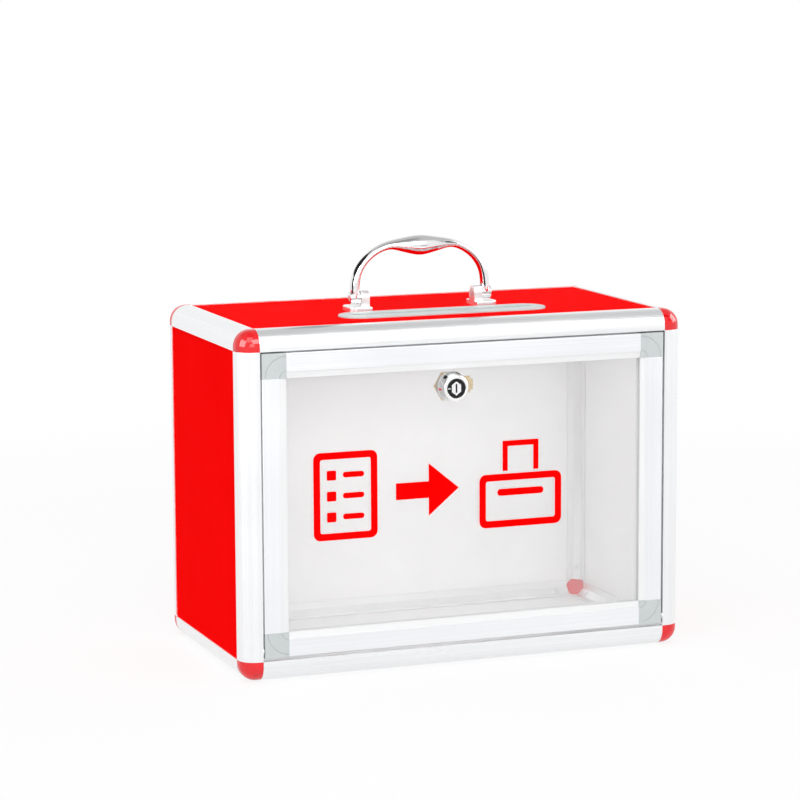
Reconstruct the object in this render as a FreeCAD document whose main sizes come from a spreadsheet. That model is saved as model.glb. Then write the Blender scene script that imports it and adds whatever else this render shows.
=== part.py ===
import FreeCAD, Part
import Sketcher
import math
import os

# Ballot box of aluminium edge extrusions, red panels and red corner caps, with a clear
# door that folds down, a cam lock in the door and a carrying handle on top.
# Millimetres, +X to the right along the front, +Y to the back, +Z up.
# Origin: middle of the footprint, lock included, on the plane that the box stands on.

doc = FreeCAD.newDocument("ballot_box")
sheet = doc.addObject("Spreadsheet::Sheet", "Dims")
V = FreeCAD.Vector
RIGHT = V(1, 0, 0)
LEFT = V(-1, 0, 0)
BACK = V(0, 1, 0)
FRONT = V(0, -1, 0)
UP = V(0, 0, 1)
DOWN = V(0, 0, -1)

SIZES = [
    ("case_width", 340, "outside width"),
    ("case_depth", 180, "outside depth"),
    ("case_height", 250, "outside height"),
    ("rail_leg", 15, "leg of an edge extrusion on each face"),
    ("rail_radius", 12, "outer radius of an edge extrusion"),
    ("lip_wall", 0.8, "outer lip over the panel edge"),
    ("round_wall", 1.2, "wall behind the round face"),
    ("inner_wall", 1.1, "inner walls of an extrusion"),
    ("lip_back", 0.6, "inner lip ends this much sooner"),
    ("panel_thickness", 3, "sheet panels"),
    ("panel_play", 0.2, "panel groove wider than the panel"),
    ("panel_grip", 4.5, "depth of the panel groove"),
    ("panel_edge_gap", 0.3, "panel edge to groove floor"),
    ("stub_play", 0.15, "corner stub inside the extrusion"),
    ("stub_length", 22, "corner stub inside the extrusion"),
    ("facet_back", 0.4, "inner facet of a back corner beyond the rails"),
    ("rivet_radius", 1.1, "corner rivet shank"),
    ("rivet_play", 0.05, "rivet hole radius over the shank"),
    ("rivet_head_radius", 2.2, "corner rivet head"),
    ("rivet_head", 0.9, "corner rivet head height"),
    ("rivet_grip", 3.2, "corner rivet shank length"),
    ("rivet_offset", 10, "rivet from the end of its extrusion"),
    ("rivet_side", 9, "front rivets from the outer plane"),
    ("stop_height", 17, "door stop below the top rail"),
    ("stop_gap", 0.3, "door back to the stop"),
    ("door_side_gap", 1.2, "door to the posts"),
    ("door_top_gap", 1.2, "door to the top rail"),
    ("door_bottom_gap", 2, "door to the bottom rail"),
    ("door_bar", 18, "face width of a door bar"),
    ("door_thickness", 8, "door bar thickness"),
    ("door_wall", 1.3, "walls of a door bar"),
    ("door_edge", 0.5, "bevel on the outer edge of a bar"),
    ("bead_width", 4.5, "glazing bead along the pane"),
    ("bead_drop", 0.4, "bead below the bar face"),
    ("bead_slope", 0.5, "slope of the bead"),
    ("pane_thickness", 3, "clear pane"),
    ("pane_setback", 2.5, "pane behind the door face"),
    ("pane_play", 0.2, "pane groove wider than the pane"),
    ("pane_grip", 5, "depth of the pane groove"),
    ("pane_edge_gap", 0.4, "pane edge to groove floor"),
    ("block_leg", 26, "legs of a door corner block"),
    ("block_play", 0.15, "leg inside the bar"),
    ("arc_outer", 15.5, "large arc line on a block"),
    ("arc_inner", 5, "small arc line on a block"),
    ("arc_line", 0.6, "width of the arc lines"),
    ("arc_depth", 0.3, "depth of the arc lines"),
    ("pivot_up", 4.5, "door pivot above the door edge"),
    ("pivot_radius", 2, "door pivot pin"),
    ("pivot_play", 0.05, "pivot bore radius over the pin"),
    ("pivot_reach", 10, "pivot pin inside the door block"),
    ("pivot_anchor", 6, "pivot pin inside the post"),
    ("pivot_end_gap", 0.4, "bore deeper than the pin"),
    ("collar_radius", 3.7, "collar of the pivot pin"),
    ("collar_width", 0.8, "collar in the side gap"),
    ("lock_offset", 11, "lock to the left of the middle"),
    ("lock_drop", 31.3, "lock below the door edge"),
    ("barrel_radius", 8.4, "lock barrel"),
    ("barrel_play", 0.2, "hole in the pane over the barrel"),
    ("flange_radius", 11, "lock flange on the pane"),
    ("flange_height", 1.4, "lock flange on the pane"),
    ("bezel_radius", 9, "front rim of the lock"),
    ("bezel_height", 9, "lock stands out from the pane"),
    ("bezel_edge", 0.5, "bevel of the front rim"),
    ("plug_radius", 6.9, "turning plug"),
    ("plug_play", 0.05, "bore radius over the plug"),
    ("plug_sunk", 1.4, "plug shoulder below the rim"),
    ("dial_thickness", 0.8, "dial on the plug"),
    ("dial_play", 0.1, "dial hole over the key core"),
    ("core_half_width", 3.5, "key core"),
    ("core_half_height", 4.9, "key core"),
    ("core_shoulder", 2.4, "key core"),
    ("core_rise", 1.2, "key core above the plug shoulder"),
    ("key_slot_width", 1.2, "keyway"),
    ("key_slot_height", 6.5, "keyway"),
    ("key_slot_depth", 6, "keyway"),
    ("washer_thickness", 0.6, "lock washer"),
    ("washer_radius", 10.4, "lock washer"),
    ("nut_radius", 11.6, "lock nut across corners, half"),
    ("nut_height", 3, "lock nut"),
    ("thread_play", 0.05, "nut and washer over the barrel"),
    ("barrel_spare", 0.6, "barrel beyond the nut"),
    ("cam_gap", 0.1, "barrel end to cam"),
    ("cam_reach", 19, "cam from the lock axis"),
    ("cam_width", 12, "cam"),
    ("cam_thickness", 2, "cam"),
    ("tail_side", 7, "square tail of the plug"),
    ("tail_play", 0.1, "cam hole over the tail"),
    ("cam_screw_radius", 2, "cam screw"),
    ("cam_screw_play", 0.05, "cam screw hole radius over the screw"),
    ("cam_screw_length", 6, "cam screw"),
    ("cam_screw_head_radius", 4.6, "cam screw head"),
    ("cam_screw_head", 2, "cam screw head"),
    ("trim_length", 160, "ballot slot trim"),
    ("trim_width", 32, "ballot slot trim"),
    ("trim_height", 1.4, "ballot slot trim"),
    ("trim_round", 0.9, "top edge of the trim"),
    ("trim_gap", 5, "trim to the handle brackets"),
    ("trim_shift", 4, "trim to the right of the middle"),
    ("slot_length", 140, "ballot slot"),
    ("slot_width", 7, "ballot slot"),
    ("neck_wall", 2.4, "trim neck round the slot"),
    ("neck_play", 0.2, "panel cut-out over the neck"),
    ("neck_below", 1, "neck below the top panel"),
    ("handle_shift", 1.5, "handle to the left of the middle"),
    ("handle_span", 103, "between the hub middles"),
    ("handle_rise", 37.1, "grip middle above the pivot"),
    ("grip_width", 17.5, "grip, front to back"),
    ("grip_height", 15, "grip at the middle"),
    ("strap_height", 5.6, "strap beside the grip"),
    ("strap_width", 9.4, "strap beside the grip, front to back"),
    ("hub_radius", 4.6, "handle hub"),
    ("hub_width", 7.4, "handle hub"),
    ("ear_gap", 0.3, "hub to bracket"),
    ("hub_clearance", 1.1, "hub above the bracket base"),
    ("ear_thickness", 6.2, "bracket ear"),
    ("ear_radius", 5.4, "bracket ear"),
    ("foot_round", 1.2, "hollow between ear and base"),
    ("base_thickness", 3.6, "bracket base"),
    ("base_depth", 22, "bracket base"),
    ("base_round", 5, "outer corners of the bracket base"),
    ("base_edge", 0.8, "top edge of the bracket base"),
    ("base_overhang", 2.7, "bracket base beyond the hub"),
    ("handle_pin_radius", 2, "handle pivot pin"),
    ("handle_pin_play", 0.05, "hub bore radius over the pin"),
    ("handle_pin_head", 1.2, "handle pin head"),
    ("handle_pin_head_radius", 3.4, "handle pin head"),
    ("screw_radius", 1.5, "bracket screw"),
    ("screw_play", 0.05, "screw hole radius over the screw"),
    ("screw_bite", 2.2, "bracket screw inside the base"),
    ("screw_head_radius", 2.8, "bracket screw head"),
    ("screw_head", 1.8, "bracket screw head"),
    ("screw_pitch", 9, "between the two screws of a bracket"),
]


class Size:
    """A length that knows its value now and the expression that keeps it current."""

    def __init__(self, value, text):
        self.value = float(value)
        self.text = text

    def join(self, other, sign, turned=False):
        if not isinstance(other, Size):
            other = Size(other, repr(float(other)))
        left, right = (other, self) if turned else (self, other)
        results = {
            "+": lambda a, b: a + b,
            "-": lambda a, b: a - b,
            "*": lambda a, b: a * b,
            "/": lambda a, b: a / b,
        }
        value = results[sign](left.value, right.value)
        return Size(value, "(%s %s %s)" % (left.text, sign, right.text))

    def __add__(self, other):
        return self.join(other, "+")

    def __radd__(self, other):
        return self.join(other, "+", True)

    def __sub__(self, other):
        return self.join(other, "-")

    def __rsub__(self, other):
        return self.join(other, "-", True)

    def __mul__(self, other):
        return self.join(other, "*")

    def __rmul__(self, other):
        return self.join(other, "*", True)

    def __truediv__(self, other):
        return self.join(other, "/")

    def __neg__(self):
        return self.join(0, "-", True)


def root(size):
    return Size(math.sqrt(size.value), "sqrt(%s)" % size.text)


class Book:
    """The sheet's values by name."""


d = Book()
for row, (name, length, note) in enumerate(SIZES, start=2):
    sheet.set("A%d" % row, name)
    sheet.set("B%d" % row, str(length))
    sheet.setAlias("B%d" % row, name)
    sheet.set("C%d" % row, note)
    setattr(d, name, Size(length, "Dims.%s" % name))
doc.recompute()

nodes = []


def number(value):
    return value.value if isinstance(value, Size) else float(value)


def bind(thing, prop, value):
    if isinstance(value, Size):
        thing.setExpression(prop, value.text)
    else:
        setattr(thing, prop, value)


def place(thing, at=(0, 0, 0), turn=None):
    where = V(*[number(value) for value in at])
    thing.Placement = FreeCAD.Placement(where, turn or FreeCAD.Rotation())
    for axis, value in zip("xyz", at):
        if isinstance(value, Size):
            thing.setExpression("Placement.Base.%s" % axis, value.text)
    return thing


def node(thing, label):
    thing.Label = label
    nodes.append(thing)
    return thing


def new(kind, name):
    thing = doc.addObject(kind, name)
    thing.Label = name
    return thing


def box(name, size, at=(0, 0, 0), turn=None):
    thing = new("Part::Box", name)
    for prop, value in zip(("Length", "Width", "Height"), size):
        bind(thing, prop, value)
    return place(thing, at, turn)


ALONG = {
    "x": FreeCAD.Rotation(BACK, 90),
    "y": FreeCAD.Rotation(RIGHT, -90),
    "z": FreeCAD.Rotation(),
    "-x": FreeCAD.Rotation(BACK, -90),
    "-y": FreeCAD.Rotation(RIGHT, 90),
    "-z": FreeCAD.Rotation(RIGHT, 180),
}


def rod(name, radius, height, at=(0, 0, 0), along="z"):
    thing = new("Part::Cylinder", name)
    bind(thing, "Radius", radius)
    bind(thing, "Height", height)
    turn = ALONG[along] if isinstance(along, str) else along
    return place(thing, at, turn)


def fuse(name, things):
    thing = new("Part::MultiFuse", name)
    thing.Shapes = things
    thing.Refine = True
    return thing


def group(name, things):
    thing = new("Part::Compound", name)
    thing.Links = things
    return thing


def cut(name, base, tools):
    thing = new("Part::Cut", name)
    thing.Base = base
    thing.Tool = tools[0] if len(tools) == 1 else group(name + " tools", tools)
    thing.Refine = True
    return thing


def mirror(name, source, normal, offset=None):
    """Mirror image across the plane with that normal, which lies the offset along it."""
    thing = new("Part::Mirroring", name)
    thing.Source = source
    thing.Normal = normal
    if offset is not None:
        thing.Base = normal * offset.value
        axis = "xyz"[list(normal).index(1)]
        thing.setExpression("Base.%s" % axis, offset.text)
    return thing


def plane_of(body, role):
    for feature in body.Origin.OriginFeatures:
        if feature.Role == role:
            return feature
    raise ValueError(role)


def sketch_in(body, name, role="XY_Plane"):
    sketch = body.newObject("Sketcher::SketchObject", name)
    sketch.AttachmentSupport = [(plane_of(body, role), "")]
    sketch.MapMode = "FlatFace"
    return sketch


def outline(sketch, points, arcs=None):
    """Closed outline through the points; arcs maps a segment to its middle and to the
    axis on which that middle is fixed."""
    arcs = arcs or {}
    count = len(points)
    first = sketch.GeometryCount
    ends = []
    for index in range(count):
        a = V(number(points[index][0]), number(points[index][1]), 0)
        after = points[(index + 1) % count]
        b = V(number(after[0]), number(after[1]), 0)
        if index in arcs:
            middle = V(number(arcs[index][0]), number(arcs[index][1]), 0)
            start = math.atan2(a.y - middle.y, a.x - middle.x)
            stop = math.atan2(b.y - middle.y, b.x - middle.x)
            left_turn = (a - middle).cross(b - middle).z > -1e-9
            if not left_turn:
                start, stop = stop, start
            circle = Part.Circle(middle, UP, (a - middle).Length)
            sketch.addGeometry(Part.ArcOfCircle(circle, start, stop), False)
            ends.append((1, 2) if left_turn else (2, 1))
        else:
            sketch.addGeometry(Part.LineSegment(a, b), False)
            ends.append((1, 2))
    for index in range(count):
        after = (index + 1) % count
        sketch.addConstraint(Sketcher.Constraint(
            "Coincident", first + index, ends[index][1], first + after, ends[after][0]))
    wanted = []
    for index, (x, y) in enumerate(points):
        wanted.append(("DistanceX", first + index, ends[index][0], x))
        wanted.append(("DistanceY", first + index, ends[index][0], y))
    for index, (x, y, axis) in arcs.items():
        value = x if axis == "X" else y
        wanted.append(("Distance" + axis, first + index, 3, value))
    for kind, geometry, end, value in wanted:
        where = sketch.addConstraint(Sketcher.Constraint(kind, geometry, end, number(value)))
        if isinstance(value, Size):
            sketch.setExpression("Constraints[%d]" % where, value.text)


def pad(body, sketch, length, reverse=False):
    feature = body.newObject("PartDesign::Pad", sketch.Name + "_pad")
    feature.Profile = sketch
    feature.Reversed = reverse
    bind(feature, "Length", length)
    sketch.Visibility = False
    return feature


def bar(name, length, outer, inner=None, outer_arcs=None, inner_arcs=None):
    """A straight bar along its own +Z with the given cross-section."""
    body = new("PartDesign::Body", name)
    sketch = sketch_in(body, name + "_section")
    outline(sketch, outer, outer_arcs)
    if inner:
        outline(sketch, inner, inner_arcs)
    pad(body, sketch, length)
    return body


# Shared positions

leg = d.rail_leg
groove_far = d.lip_wall + d.panel_thickness + d.panel_play
lip_far = groove_far + d.inner_wall
floor = leg - d.panel_grip
shoulder = floor - d.inner_wall
lip_end = leg - d.lip_back
panel_edge = floor + d.panel_edge_gap
half_width = d.case_width / 2
half_depth = d.case_depth / 2
top_face = d.case_height - d.lip_wall
case_middle = (d.bezel_height - d.pane_setback) / 2
front = case_middle - half_depth
rear = case_middle + half_depth

# Chamber of an extrusion: behind the round wall, in front of the diagonal wall
chamber_radius = d.rail_radius - d.round_wall
chamber_low = d.rail_radius - root(
    chamber_radius * chamber_radius - (d.rail_radius - shoulder) * (d.rail_radius - shoulder))
chamber_high = lip_far - d.inner_wall * 1.41421
round_middle = (d.rail_radius, d.rail_radius, "X")

edge_outer = [
    (d.rail_radius, 0), (0, d.rail_radius), (0, leg), (d.lip_wall, leg),
    (d.lip_wall, floor), (groove_far, floor), (groove_far, lip_end), (lip_far, lip_end),
    (lip_far, shoulder), (shoulder, lip_far), (lip_end, lip_far), (lip_end, groove_far),
    (floor, groove_far), (floor, d.lip_wall), (leg, d.lip_wall), (leg, 0)]
edge_inner = [
    (shoulder, chamber_low), (chamber_low, shoulder), (chamber_high, shoulder),
    (shoulder, chamber_high)]
front_outer = edge_outer[:8] + [(lip_far, floor), (leg, floor), (leg, 0)]
front_far = leg - d.inner_wall
front_inner = [
    (d.rail_radius, d.round_wall), (chamber_low, shoulder), (front_far, shoulder),
    (front_far, d.round_wall)]
stop_front = d.door_thickness + d.stop_gap
stop_back = stop_front + d.inner_wall
stop_outer = edge_outer[:8] + [
    (lip_far, floor), (leg, floor), (leg, stop_back), (leg + d.stop_height, stop_back),
    (leg + d.stop_height, stop_front), (leg, stop_front), (leg, 0)]

diagonal = (shoulder + lip_far) / 2
rivet_bore = d.rivet_radius + d.rivet_play
INWARD = FreeCAD.Rotation(UP, V(-1, -1, 0))


def rail(label, length, outer, at, turn, front_side=False, more=None):
    inner = front_inner if front_side else edge_inner
    body = bar(label + " extrusion", length, outer, inner, {0: round_middle}, {0: round_middle})
    tools = []
    for share, height in (("near", d.rivet_offset), ("far", length - d.rivet_offset)):
        name = "%s %s rivet hole" % (label, share)
        if front_side:
            where = (d.rivet_side, floor, height)
            tools.append(rod(name, rivet_bore, d.rivet_grip, where, "-y"))
        else:
            where = (diagonal, diagonal, height)
            tools.append(rod(name, rivet_bore, d.rivet_grip, where, INWARD))
    tools += more or []
    return node(place(cut(label, body, tools), at, turn), label)


post_length = d.case_height - 2 * leg
wide_length = d.case_width - 2 * leg
deep_length = d.case_depth - 2 * leg
pivot_z = leg + d.door_bottom_gap + d.pivot_up
pivot_depth = d.door_thickness / 2
pivot_bore = d.pivot_radius + d.pivot_play


def pin_hole(label, height):
    where = (leg - d.pivot_anchor, pivot_depth, height)
    return rod(label + " pin hole", pivot_bore, d.pivot_anchor, where, "x")


def turned(x, y, z):
    return FreeCAD.Rotation(x, y, z, "XYZ")


rail("left_front_post", post_length, front_outer, (-half_width, front, leg), None, True,
     [pin_hole("left_front_post", pivot_z - leg)])
rail("right_front_post", post_length, front_outer, (half_width, front, d.case_height - leg),
     FreeCAD.Rotation(BACK, 180), True,
     [pin_hole("right_front_post", d.case_height - leg - pivot_z)])
rail("bottom_front_rail", wide_length, front_outer, (half_width - leg, front, 0),
     FreeCAD.Rotation(BACK, -90), True)
rail("top_front_rail", wide_length, stop_outer, (leg - half_width, front, d.case_height),
     FreeCAD.Rotation(BACK, 90), True)
rail("left_back_post", post_length, edge_outer, (-half_width, rear, leg),
     turned(FRONT, RIGHT, UP))
rail("right_back_post", post_length, edge_outer, (half_width, rear, leg),
     turned(LEFT, FRONT, UP))
rail("bottom_back_rail", wide_length, edge_outer, (leg - half_width, rear, 0),
     turned(UP, FRONT, RIGHT))
rail("top_back_rail", wide_length, edge_outer, (leg - half_width, rear, d.case_height),
     turned(FRONT, DOWN, RIGHT))
rail("left_bottom_rail", deep_length, edge_outer, (-half_width, front + leg, 0),
     turned(UP, RIGHT, BACK))
rail("right_bottom_rail", deep_length, edge_outer, (half_width, front + leg, 0),
     turned(LEFT, UP, BACK))
rail("left_top_rail", deep_length, edge_outer, (-half_width, front + leg, d.case_height),
     turned(RIGHT, DOWN, BACK))
rail("right_top_rail", deep_length, edge_outer, (half_width, front + leg, d.case_height),
     turned(DOWN, LEFT, BACK))

# Corner caps. Each is drawn for the left front bottom corner, measured inward from the
# three outer planes, and then set or mirrored into its place.


def rounded_corner(name):
    body = new("PartDesign::Body", name)
    block = body.newObject("PartDesign::AdditiveBox", name + "_block")
    for prop in ("Length", "Width", "Height"):
        bind(block, prop, leg)
    doc.recompute()
    picked = []
    for index, edge in enumerate(block.Shape.Edges, start=1):
        if min(vertex.Point.Length for vertex in edge.Vertexes) < 1e-6:
            picked.append("Edge%d" % index)
    feature = body.newObject("PartDesign::Fillet", name + "_round")
    feature.Base = (block, picked)
    bind(feature, "Radius", d.rail_radius)
    return body


stub_near = chamber_low + d.stub_play
stub_far = shoulder - d.stub_play
stub_bend = chamber_high - d.stub_play
stub_round = d.rail_radius - (chamber_radius - d.stub_play) * 0.70711
edge_stub = [
    (stub_far, stub_near), (stub_far, stub_bend), (stub_bend, stub_far),
    (stub_near, stub_far), (stub_round, stub_round)]
front_stub_far = front_far - d.stub_play
front_stub_low = d.round_wall + d.stub_play
front_stub = [
    (front_stub_far, front_stub_low), (front_stub_far, stub_far), (stub_near, stub_far),
    (stub_round, stub_round), (d.rail_radius, front_stub_low)]
TO_X = turned(BACK, UP, RIGHT)
TO_Y = turned(UP, RIGHT, BACK)
stub_whole = d.stub_length + 1


def stub(name, section, turn, at):
    return place(bar(name, stub_whole, section), at, turn)


def groove_box(name, way):
    """Room for a panel corner, the panel lying across the given way."""
    reach = leg - floor + 1
    thick = groove_far - d.lip_wall
    size = [thick if axis == way else reach for axis in "xyz"]
    at = [d.lip_wall if axis == way else floor for axis in "xyz"]
    return box(name, size, at)


stub_at = leg - 1
rivet_at = leg + d.rivet_offset
facet = (lip_far + shoulder + leg + d.facet_back) / 3
faceted = cut("back corner faceted", rounded_corner("back corner block"), [
    rod("back corner facet", 2 * leg, leg, (facet, facet, facet), FreeCAD.Rotation(UP, V(1, 1, 1)))])
back_shape = fuse("back corner with stubs", [
    faceted,
    stub("back stub x", edge_stub, TO_X, (stub_at, 0, 0)),
    stub("back stub y", edge_stub, TO_Y, (0, stub_at, 0)),
    stub("back stub z", edge_stub, None, (0, 0, stub_at))])
back_corner = cut("back corner", back_shape, [
    groove_box("back corner groove x", "x"),
    groove_box("back corner groove y", "y"),
    groove_box("back corner groove z", "z"),
    rod("back corner rivet x", rivet_bore, d.rivet_grip, (rivet_at, diagonal, diagonal),
        FreeCAD.Rotation(UP, V(0, -1, -1))),
    rod("back corner rivet y", rivet_bore, d.rivet_grip, (diagonal, rivet_at, diagonal),
        FreeCAD.Rotation(UP, V(-1, 0, -1))),
    rod("back corner rivet z", rivet_bore, d.rivet_grip, (diagonal, diagonal, rivet_at), INWARD)])

front_shape = fuse("front corner with stubs", [
    rounded_corner("front corner block"),
    stub("front stub x", [(y, x) for x, y in front_stub], TO_X, (stub_at, 0, 0)),
    stub("front stub y", edge_stub, TO_Y, (0, stub_at, 0)),
    stub("front stub z", front_stub, None, (0, 0, stub_at))])
inside = bar("front corner inside", leg, [
    (lip_far, shoulder), (shoulder, lip_far), (leg + 1, lip_far), (leg + 1, leg + 1),
    (lip_far, leg + 1)])
place(inside, (0, floor, 0), turned(UP, RIGHT, BACK))
front_corner = cut("front corner", front_shape, [
    groove_box("front corner groove x", "x"),
    groove_box("front corner groove z", "z"),
    inside,
    rod("front corner rivet x", rivet_bore, d.rivet_grip, (rivet_at, floor, d.rivet_side), "-y"),
    rod("front corner rivet y", rivet_bore, d.rivet_grip, (diagonal, rivet_at, diagonal),
        FreeCAD.Rotation(UP, V(-1, 0, -1))),
    rod("front corner rivet z", rivet_bore, d.rivet_grip, (d.rivet_side, floor, rivet_at), "-y")])
pin_socket = rod("front corner pin socket", pivot_bore, d.pivot_anchor,
                 (leg - d.pivot_anchor, pivot_depth, pivot_z), "x")
middle_height = d.case_height / 2

cap_lfb = place(cut("left_front_bottom_cap", front_corner, [pin_socket]), (-half_width, front, 0))
node(cap_lfb, "left_front_bottom_cap")
node(mirror("right_front_bottom_cap", cap_lfb, RIGHT), "right_front_bottom_cap")
front_placed = place(group("front corner placed", [front_corner]), (-half_width, front, 0))
cap_lft = node(mirror("left_front_top_cap", front_placed, UP, middle_height), "left_front_top_cap")
node(mirror("right_front_top_cap", cap_lft, RIGHT), "right_front_top_cap")
back_placed = place(group("back corner placed", [back_corner]), (-half_width, front, 0))
cap_lbb = node(mirror("left_back_bottom_cap", back_placed, BACK, case_middle), "left_back_bottom_cap")
node(mirror("right_back_bottom_cap", cap_lbb, RIGHT), "right_back_bottom_cap")
cap_lbt = node(mirror("left_back_top_cap", cap_lbb, UP, middle_height), "left_back_top_cap")
node(mirror("right_back_top_cap", cap_lbt, RIGHT), "right_back_top_cap")

# Corner rivets: six at the left bottom edges, mirrored to the other three


def rivet(name, at, turn):
    shank = rod(name + " shank", d.rivet_radius, d.rivet_grip + 0.2, (0, 0, -d.rivet_grip))
    head = rod(name + " head", d.rivet_head_radius, d.rivet_head)
    return place(fuse(name, [shank, head]), at, turn)


rivets = group("left bottom rivets", [
    rivet("rivet left bottom front", (diagonal - half_width, front + rivet_at, diagonal),
          FreeCAD.Rotation(UP, V(1, 0, 1))),
    rivet("rivet left bottom back", (diagonal - half_width, rear - rivet_at, diagonal),
          FreeCAD.Rotation(UP, V(1, 0, 1))),
    rivet("rivet back bottom", (rivet_at - half_width, rear - diagonal, diagonal),
          FreeCAD.Rotation(UP, V(0, -1, 1))),
    rivet("rivet back post", (diagonal - half_width, rear - diagonal, rivet_at),
          FreeCAD.Rotation(UP, V(1, -1, 0))),
    rivet("rivet front bottom", (rivet_at - half_width, front + floor, d.rivet_side), ALONG["y"]),
    rivet("rivet front post", (d.rivet_side - half_width, front + floor, rivet_at), ALONG["y"])])
rivets_right = mirror("right bottom rivets", rivets, RIGHT)
rivets_low = group("bottom rivets", [rivets, rivets_right])
rivets_high = mirror("top rivets", rivets_low, UP, middle_height)
node(group("corner_rivets", [rivets_low, rivets_high]), "corner_rivets")

# Panels

panel_wide = d.case_width - 2 * panel_edge
panel_deep = d.case_depth - 2 * panel_edge
panel_tall = d.case_height - 2 * panel_edge
thick = d.panel_thickness
node(box("left_panel", (thick, panel_deep, panel_tall),
         (d.lip_wall - half_width, front + panel_edge, panel_edge)), "left_panel")
node(box("right_panel", (thick, panel_deep, panel_tall),
         (half_width - d.lip_wall - thick, front + panel_edge, panel_edge)), "right_panel")
node(box("back_panel", (panel_wide, thick, panel_tall),
         (panel_edge - half_width, rear - d.lip_wall - thick, panel_edge)), "back_panel")
node(box("bottom_panel", (panel_wide, panel_deep, thick),
         (panel_edge - half_width, front + panel_edge, d.lip_wall)), "bottom_panel")

trim_y = case_middle - d.base_depth / 2 - d.trim_gap - d.trim_width / 2
neck_length = d.slot_length + 2 * d.neck_wall
neck_width = d.slot_width + 2 * d.neck_wall


def oblong_points(length, width):
    straight = (length - width) / 2
    radius = width / 2
    points = [(-straight, -radius), (straight, -radius), (straight, radius), (-straight, radius)]
    arcs = {1: (straight, 0, "X"), 3: (-straight, 0, "X")}
    return points, arcs


def oval(sketch, wide, tall):
    """Ellipse about the middle of the sketch, wider than tall."""
    shape = Part.Ellipse(V(number(wide) / 2, 0, 0), V(0, number(tall) / 2, 0), V(0, 0, 0))
    first = sketch.addGeometry(shape, False)
    sketch.exposeInternalGeometry(first)
    sketch.addConstraint(Sketcher.Constraint("Coincident", first, 3, -1, 1))
    sketch.addConstraint(Sketcher.Constraint("Horizontal", first + 1))
    for axis, value in ((first + 1, wide), (first + 2, tall)):
        where = sketch.addConstraint(Sketcher.Constraint("Distance", axis, number(value)))
        sketch.setExpression("Constraints[%d]" % where, value.text)


def round_top_edges(body, pad_feature, height, radius):
    """Round the edges that lie at that height of a pad."""
    doc.recompute()
    edges = []
    for index, edge in enumerate(pad_feature.Shape.Edges, start=1):
        if min(vertex.Point.z for vertex in edge.Vertexes) > height.value - 1e-6:
            edges.append("Edge%d" % index)
    rounding = body.newObject("PartDesign::Fillet", pad_feature.Name + "_round")
    rounding.Base = (pad_feature, edges)
    bind(rounding, "Radius", radius)


def oblong(name, length, width, height, at):
    body = new("PartDesign::Body", name)
    sketch = sketch_in(body, name + "_section")
    outline(sketch, *oblong_points(length, width))
    pad(body, sketch, height)
    return place(body, at)


handle_x = -d.handle_shift
hub_inner = d.handle_span / 2 - d.hub_width / 2
ear_outer = hub_inner - d.ear_gap
ear_inner = ear_outer - d.ear_thickness
base_end = hub_inner + d.hub_width + d.base_overhang
screw_middle = (ear_inner + base_end) / 2
screw_spots = [screw_middle - d.screw_pitch / 2, screw_middle + d.screw_pitch / 2]
screw_bore = d.screw_radius + d.screw_play
top_tools = [oblong("top panel slot", neck_length + 2 * d.neck_play, neck_width + 2 * d.neck_play,
                    3 * thick, (d.trim_shift, trim_y, top_face - 2 * thick))]
for side, sign in (("left", -1), ("right", 1)):
    for order, spot in enumerate(screw_spots):
        top_tools.append(rod("top panel %s screw hole %d" % (side, order), screw_bore, 3 * thick,
                             (handle_x + sign * spot, case_middle, top_face - 2 * thick)))
top_sheet = box("top sheet", (panel_wide, panel_deep, thick),
                (panel_edge - half_width, front + panel_edge, top_face - thick))
node(cut("top_panel", top_sheet, top_tools), "top_panel")

# Ballot slot trim: rounded rim on the panel, neck through the panel, slot through both

trim = new("PartDesign::Body", "slot_trim")
rim_sketch = sketch_in(trim, "trim_rim")
outline(rim_sketch, *oblong_points(d.trim_length, d.trim_width))
rim = pad(trim, rim_sketch, d.trim_height)
round_top_edges(trim, rim, d.trim_height, d.trim_round)
neck_sketch = sketch_in(trim, "trim_neck")
outline(neck_sketch, *oblong_points(neck_length, neck_width))
pad(trim, neck_sketch, thick + d.neck_below, True)
slot_sketch = sketch_in(trim, "trim_slot")
outline(slot_sketch, *oblong_points(d.slot_length, d.slot_width))
slot = trim.newObject("PartDesign::Pocket", "trim_slot_pocket")
slot.Profile = slot_sketch
slot.Type = "ThroughAll"
slot.Midplane = True
place(trim, (d.trim_shift, trim_y, top_face))
node(trim, "slot_trim")

# Handle brackets, screws and pins; the right ones are drawn and the left ones mirrored

pivot_up = d.base_thickness + d.hub_clearance + d.hub_radius
handle_z = top_face + pivot_up
pin_bore = d.handle_pin_radius + d.handle_pin_play
ear_near = handle_x + ear_inner
base_half = d.base_depth / 2
base_turn = base_end - d.base_round
base_body = new("PartDesign::Body", "right bracket base")
base_sketch = sketch_in(base_body, "right_bracket_base_outline")
outline(base_sketch, [
    (ear_inner, -base_half), (base_turn, -base_half), (base_end, d.base_round - base_half),
    (base_end, base_half - d.base_round), (base_turn, base_half), (ear_inner, base_half)],
    {1: (base_turn, d.base_round - base_half, "X"), 3: (base_turn, base_half - d.base_round, "X")})
round_top_edges(base_body, pad(base_body, base_sketch, d.base_thickness), d.base_thickness, d.base_edge)
place(base_body, (handle_x, case_middle, top_face))
foot_high = d.base_thickness + d.foot_round
foot = cut("right bracket foot", box(
    "right bracket foot block", (d.ear_thickness + d.foot_round, 2 * d.ear_radius, foot_high),
    (ear_near, case_middle - d.ear_radius, top_face)), [
    rod("right bracket hollow", d.foot_round, 2 * d.ear_radius,
        (ear_near + d.ear_thickness + d.foot_round, case_middle - d.ear_radius, top_face + foot_high), "y")])
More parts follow.
